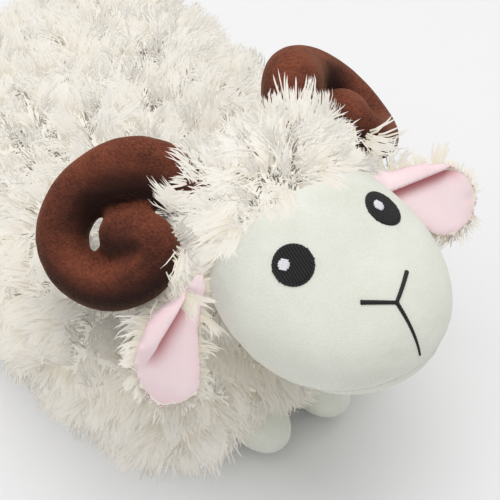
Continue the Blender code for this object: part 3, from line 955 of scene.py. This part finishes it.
def combed(spots, normals, flow, trim, look, rng):
    # every strand's bent middle line in four stations, and its own and its tuft's tint
    shape = strandShape
    tufts = max(shape["fewestTufts"], len(spots) // look["perTuft"])
    chosen = rng.choice(len(spots), tufts, replace=False)
    tree = KDTree(tufts)
    for place, index in enumerate(chosen):
        tree.insert(spots[index], place)
    tree.balance()
    owner = np.array([tree.find(spot)[1] for spot in spots])
    down = np.array([0, 0, -1.0])
    wander = alongSkin(rng.normal(size=(tufts, 3)), normals[chosen])
    lean = alongSkin(flow[chosen] * look["flow"] + down * look["droop"], normals[chosen])
    lean = lean + wander * look["wander"]
    reach = look["length"] * (1 + look["vary"] * rng.uniform(-1, 1, tufts))
    tuftAim = unit(normals[chosen] * look["lift"] + lean)
    tuftTip = spots[chosen] + tuftAim * reach[:, None]
    size = reach[owner] * trim * rng.uniform(*shape["sizes"], len(spots))
    ownLean = lean[owner] + rng.normal(size=spots.shape) * look["stray"]
    aim = unit(normals * look["lift"] + ownLean)
    gather = rng.uniform(*look["gather"], len(spots))[:, None] * trim[:, None]
    tip = (spots + aim * size[:, None]) * (1 - gather) + tuftTip[owner] * gather
    tip = tip + rng.normal(size=spots.shape) * shape["tipStray"]
    arch = normals * (size * shape["archUp"])[:, None]
    middle = spots + arch + (tip - spots) * shape["archAlong"]
    start = spots - normals * look["sink"]
    shares = np.array(shape["stations"])[None, :, None]
    lines = (1 - shares) ** 2 * start[:, None] + 2 * shares * (1 - shares) * middle[:, None]
    lines = lines + shares ** 2 * tip[:, None]
    lines[:, 1:, 2] = np.maximum(lines[:, 1:, 2], shape["floorGap"])
    tints = np.stack([rng.random(len(spots)), rng.random(tufts)[owner]], 1)
    return lines, tints


def signedDistance(points, piece, tree, reach, border):
    # below zero inside; points outside the piece's box by more than the border count as reach
    low, high = spotsOf(piece).min(0), spotsOf(piece).max(0)
    found = np.full(len(points), reach)
    outward = np.zeros_like(points)
    near = np.flatnonzero(((points > low - border) & (points < high + border)).all(1))
    for index in near:
        hit, normal, face, distance = tree.find_nearest(Vector(points[index]), reach)
        if hit is None:
            continue
        away = Vector(points[index]) - hit
        found[index] = distance if away.dot(normal) > 0 else -distance
        outward[index] = normal
    return found, outward


def keepClear(lines, piece, tree, mode, margin):
    # strands that run into a piece are laid over it, or left out where they go in deep
    reach = strandShape["search"]
    kept = np.ones(len(lines), bool)
    for station in (1, 2, 3):
        distance, outward = signedDistance(lines[:, station], piece, tree, reach, reach)
        inside = distance < margin
        if mode == "drop":
            kept &= ~inside
            continue
        kept &= distance > strandShape["deepest"]
        lines[inside, station] += outward[inside] * (margin - distance[inside])[:, None]
    return kept & (signedDistance(lines[:, 2], piece, tree, 1.0, 0)[0] >= 0)


def overEar(lines, side):  # strands that would lie across the pink lining
    bad = np.zeros(len(lines), bool)
    for station in (1, 2, 3):
        along, across, out = inEar(side, lines[:, station])
        across = across - np.interp(along, earSize[side]["bendAt"], earSize[side]["bend"])
        over = (along > liningZone["start"]) & (along < earSize["length"] + liningZone["past"])
        over &= (out > liningZone["under"]) & (out < liningZone["over"])
        bad |= over & (np.abs(across) < earWidth(along))
    return bad


def strandMesh(name, lines, widths, tints, outward):  # three-sided tapering locks, closed at both ends
    shape = strandShape
    count = len(lines)
    aim = unit(lines[:, 3] - lines[:, 0])
    rng = np.random.default_rng(len(lines))
    stray = rng.normal(size=aim.shape) * shape["faceStray"]
    towards = outward + np.array([0, 0, shape["faceUp"]]) + stray
    flat = unit(np.cross(aim, towards))  # the broad side of a strand faces outwards
    thick = np.cross(aim, flat)
    spots = np.empty((count, strandPoints, 3))
    for ring, taper in enumerate(shape["taper"]):
        half = (widths * taper / 2)[:, None]
        spots[:, ring * 3] = lines[:, ring] + flat * half
        spots[:, ring * 3 + 1] = lines[:, ring] + thick * half * shape["thickness"]
        spots[:, ring * 3 + 2] = lines[:, ring] - flat * half
    spots[:, -1] = lines[:, 3]
    quads = [(k, k + 1, k + 4, k + 3) for k in (0, 1, 3, 4)]
    quads += [(k + 2, k, k + 3, k + 5) for k in (0, 3)]
    corners = [corner for quad in quads for corner in quad]
    corners += [6, 7, 9, 7, 8, 9, 8, 6, 9, 0, 2, 1]
    totals = [4] * 6 + [3] * 4
    base = (np.arange(count) * strandPoints)[:, None]
    allCorners = (np.array(corners)[None] + base).ravel()
    allTotals = np.tile(totals, count)
    starts = np.concatenate([[0], np.cumsum(allTotals)[:-1]])
    mesh = bpy.data.meshes.new(name)
    mesh.vertices.add(count * strandPoints)
    mesh.vertices.foreach_set("co", spots.astype(np.float32).ravel())
    mesh.loops.add(len(allCorners))
    mesh.loops.foreach_set("vertex_index", allCorners.astype(np.int32))
    mesh.polygons.add(len(allTotals))
    mesh.polygons.foreach_set("loop_start", starts.astype(np.int32))
    mesh.polygons.foreach_set("use_smooth", np.ones(len(allTotals), bool))
    mesh.update(calc_edges=True)
    mesh.validate()
    own = pointsOf(mesh, "normal").reshape(count, strandPoints, 3)
    sky = np.array([0, 0, shape["skyShade"]])  # light scatters down through the pile
    soft = unit(own * shape["ownShade"] + outward[:, None] + sky)
    mesh.normals_split_custom_set_from_vertices(soft.reshape(-1, 3))
    shade = np.ones((count, strandPoints, 4))
    # red: how far along the strand, which fades the painted root shade out towards the tip
    shade[:, :, 0] = np.repeat(shape["stations"][:3], 3).tolist() + [1.0]
    shade[:, :, 1] = tints[:, :1]
    shade[:, :, 2] = tints[:, 1:]
    colours = mesh.color_attributes.new("strandTint", "FLOAT_COLOR", "POINT")
    colours.data.foreach_set("color", shade.astype(np.float32).ravel())
    return mesh


def clipped(lines):  # strands that reach too far past the CAD's box are cut shorter
    low = np.array(cadBox[0]) - strandShape["proud"]
    high = np.array(cadBox[1]) + strandShape["proud"]
    start = lines[:, :1]
    run = lines - start
    room = np.where(run > 0, high - start, low - start)
    moves = np.abs(run) > 1e-9
    share = np.where(moves, room / np.where(moves, run, 1), 1)
    share = np.clip(share.min((1, 2)), strandShape["shortest"], 1)
    return start + run * share[:, None, None]


def steady(way):  # fur that lies the same way everywhere
    return lambda spots, normals: np.zeros_like(spots) + np.array(way)


def awayFrom(whorl):  # fur that lies away from a point
    return lambda spots, normals: unit(spots - np.array(whorl))


def growFur(name, source, body, look, keepSpot, flowAt, blockers=(), trimAt=None, shadeWay=None):
    rng = np.random.default_rng(look["seed"])
    spots, normals = skinSpots(source, look["count"], rng)
    kept = keepSpot(spots, normals)
    spots, normals = spots[kept], normals[kept]
    trim = trimAt(spots) if trimAt else np.ones(len(spots))
    lines, tints = combed(spots, normals, flowAt(spots, normals), trim, look, rng)
    widths = look["width"] * rng.uniform(*strandShape["widths"], len(spots))
    lines = clipped(lines)
    kept = np.ones(len(lines), bool)
    for blocker in blockers:
        kept &= keepClear(lines, *blocker)
    if look["offLining"]:
        for side in sides:
            kept &= ~overEar(lines, side)
    lines, tints, widths, normals = lines[kept], tints[kept], widths[kept], normals[kept]
    if shadeWay is not None:
        normals = normals * strandShape["skinShade"] + shadeWay
    order = rng.permutation(len(lines))
    for part in range(look["pieces"]):
        share = order[part::look["pieces"]]
        label = name if look["pieces"] == 1 else f"{name}_{part + 1}"
        mesh = strandMesh(label, lines[share], widths[share], tints[share], normals[share])
        piece = newPiece(label, mesh, creamFur)
        piece.visible_shadow = False  # light passes through the fine white strands
        piece.visible_diffuse = False
        finish(piece, body)
    print(name, "has", len(lines), "strands")


bodyFur = dict(
    furCommon, count=84000, pieces=7, perTuft=28, length=0.0215, vary=0.25, lift=0.66, flow=0.22,
    droop=0.38, stray=0.22, gather=(0.1, 0.62), width=0.00125, seed=11, above=0.014, underside=-0.75,
    centre=(0.0, 0.03, 0.06), spread=(1.0, 0.6, 0.0), backwards=(0, 0.25, 0), frontRamp=(0.105, 0.04),
    lowRamp=(-0.085, 0.04), breastMore=0.4, footShare=0.45, footMore=0.55, footRamp=(0.03, 0.03),
    footGap=0.0045,
)
skinGap = 0.0006
headBlocker = (headForm, treeOf(headForm), "drop", skinGap)
bodyBlocker = (bodyForm, treeOf(bodyForm), "drop", skinGap)
hornBlockers = [(horn, treeOf(horn), "lay", skinGap) for horn in horns.values()]
footBlockers = [(stubs[name], treeOf(stubs[name]), "drop", bodyFur["footGap"]) for name in feet]


def bodySkin(spots, normals):  # everywhere but the belly and the skin that faces down
    return (spots[:, 2] > bodyFur["above"]) & (normals[:, 2] > bodyFur["underside"])


def bodyTrim(spots):  # the locks hang longest at the breast and are short over the front feet
    breast = ramp(-spots[:, 1], *bodyFur["frontRamp"]) * ramp(-spots[:, 2], *bodyFur["lowRamp"])
    trim = 1 + bodyFur["breastMore"] * breast
    for side in sides:
        middle = spotsOf(stubs[f"front_foot_{side}"]).mean(0)
        away = np.linalg.norm(spots - middle, axis=1)
        trim = trim * (bodyFur["footShare"] + bodyFur["footMore"] * ramp(away, *bodyFur["footRamp"]))
    return trim


def bodyFlow(spots, normals):  # outwards and a little back
    outwards = unit((spots - np.array(bodyFur["centre"])) * np.array(bodyFur["spread"]))
    return outwards + np.array(bodyFur["backwards"])


growFur(
    "bodyFur", bodyForm, "torso", bodyFur, bodySkin, bodyFlow,
    [headBlocker, *hornBlockers, *footBlockers], bodyTrim,
)

headFur = dict(
    furCommon, count=34000, pieces=2, perTuft=28, length=0.0225, vary=0.28, lift=0.78, flow=0.4,
    droop=0.12, stray=0.24, gather=(0.1, 0.62), seed=23, whorl=(0.0, -0.148, 0.232),
    crownRamp=(0.2, 0.025), crownMore=0.6, templeRamp=(0.035, 0.02), templeMore=0.5, seamShare=0.65,
    seamMore=0.35, seamRamp=(0, 0.02), moreRamp=(0, 0.025),
)


def hoodSkin(spots, normals):  # behind the hairline and cheek seams
    return behindSeams(spots, upper) > 0


def hoodTrim(spots):  # shorter towards the hairline and cheeks, longest on the crown
    behind = behindSeams(spots, upper)
    crown = headFur["crownMore"] * ramp(spots[:, 2], *headFur["crownRamp"])
    temple = headFur["templeMore"] * ramp(np.abs(spots[:, 0]), *headFur["templeRamp"])
    trim = headFur["seamShare"] + headFur["seamMore"] * ramp(behind, *headFur["seamRamp"])
    return trim + np.maximum(crown, temple) * ramp(behind, *headFur["moreRamp"])


growFur(
    "headFur", hoodForm, "head", headFur, hoodSkin, awayFrom(headFur["whorl"]),
    [*hornBlockers, bodyBlocker], hoodTrim,
)

neckFur = dict(
    furCommon, count=7000, perTuft=24, length=0.02, flow=0.3, droop=0.45, stray=0.24, seed=37,
    behind=-0.15, above=0.1, way=(0, 0.8, -0.6),
)


def neckSkin(spots, normals):  # the back and sides, where the neck shows between head and body
    return (spots[:, 1] > neckFur["behind"]) & (spots[:, 2] > neckFur["above"])


growFur("neckFur", neckForm, "neck", neckFur, neckSkin, steady(neckFur["way"]), [bodyBlocker])

hornBaseFur = dict(
    furCommon, count=9000, perTuft=20, length=0.019, vary=0.35, lift=0.45, wander=0.45, flow=0.85,
    droop=0.1, stray=0.24, seed=27, hoodReach=0.028, rootWay=(0.759, 0.651), rootFrom=0.0245,
    whorl=(0.0, -0.15, 0.19),
)
hoodTree = treeOf(hoodForm)


def hornBase(spots, normals):  # the ring of the horn's root that the hood's pile laps over
    inwards, forwards = hornBaseFur["rootWay"]
    near = np.zeros(len(spots), bool)
    for index, spot in enumerate(spots):
        hit = hoodTree.find_nearest(Vector(spot), hornBaseFur["hoodReach"])
        rootwards = inwards * -abs(spot[0]) - forwards * spot[1]
        near[index] = hit[0] is not None and rootwards > hornBaseFur["rootFrom"]
    return near


for side, horn in horns.items():
    way = awayFrom(hornBaseFur["whorl"])
    growFur(f"hornBaseFur_{side}", horn, "head", hornBaseFur, hornBase, way)

earFur = dict(
    furCommon, count=3600, perTuft=14, length=0.013, lift=0.8, flow=0.5, droop=0.1, stray=0.3,
    width=0.0011, sink=0.001, seed=31, offLining=False, lobeFrom=0.004, backTurn=-0.15, lobeTurn=0.9,
    lobeRamp=(0, 0.02), tipwards=1.3, tipRamp=(0, 0.03), rootwards=0.3, outwards=0.9, rootMore=0.9,
    rootRamp=(0.01, 0.035),
)

for side in sides:
    along, across, facing = earFrame(side)[1:]

    def backSkin(spots, normals):  # the back, and round onto the lobe at the root
        length, sideways = inEar(side, spots)[:2]
        onLobe = sideways * earSize[side]["lobeSide"] > earFur["lobeFrom"]
        more = earFur["lobeTurn"] * onLobe * (1 - ramp(length, *earFur["lobeRamp"]))
        return normals @ facing < earFur["backTurn"] + more

    def rimFlow(spots, normals):  # along the ear and out past its rim
        length, sideways = inEar(side, spots)[:2]
        outwards = np.sign(sideways)[:, None] * across
        tipwards = earFur["tipwards"] * ramp(length, *earFur["tipRamp"]) - earFur["rootwards"]
        return unit(along * tipwards[:, None] + outwards * earFur["outwards"])

    def rootTrim(spots):  # longest at the ear's root
        length = inEar(side, spots)[0]
        return 1 + earFur["rootMore"] * (1 - ramp(length, *earFur["rootRamp"]))

    ear = ears[side]
    growFur(f"earFur_{side}", ear, f"ear_{side}", earFur, backSkin, rimFlow, (), rootTrim, facing)

tailFur = dict(
    furCommon, count=1800, perTuft=11, length=0.018, flow=0.4, droop=0.3, stray=0.25, gather=(0.2, 0.7),
    width=0.0014, sink=0.002, seed=41, offLining=False, above=0.004, way=(0, 1.0, -0.2),
)


def tailSkin(spots, normals):
    return spots[:, 2] > tailFur["above"]


growFur("tailFur", stubs["tail"], "tail", tailFur, tailSkin, steady(tailFur["way"]))
for form in (bodyForm, headForm, *ears.values()):
    bpy.data.objects.remove(form)
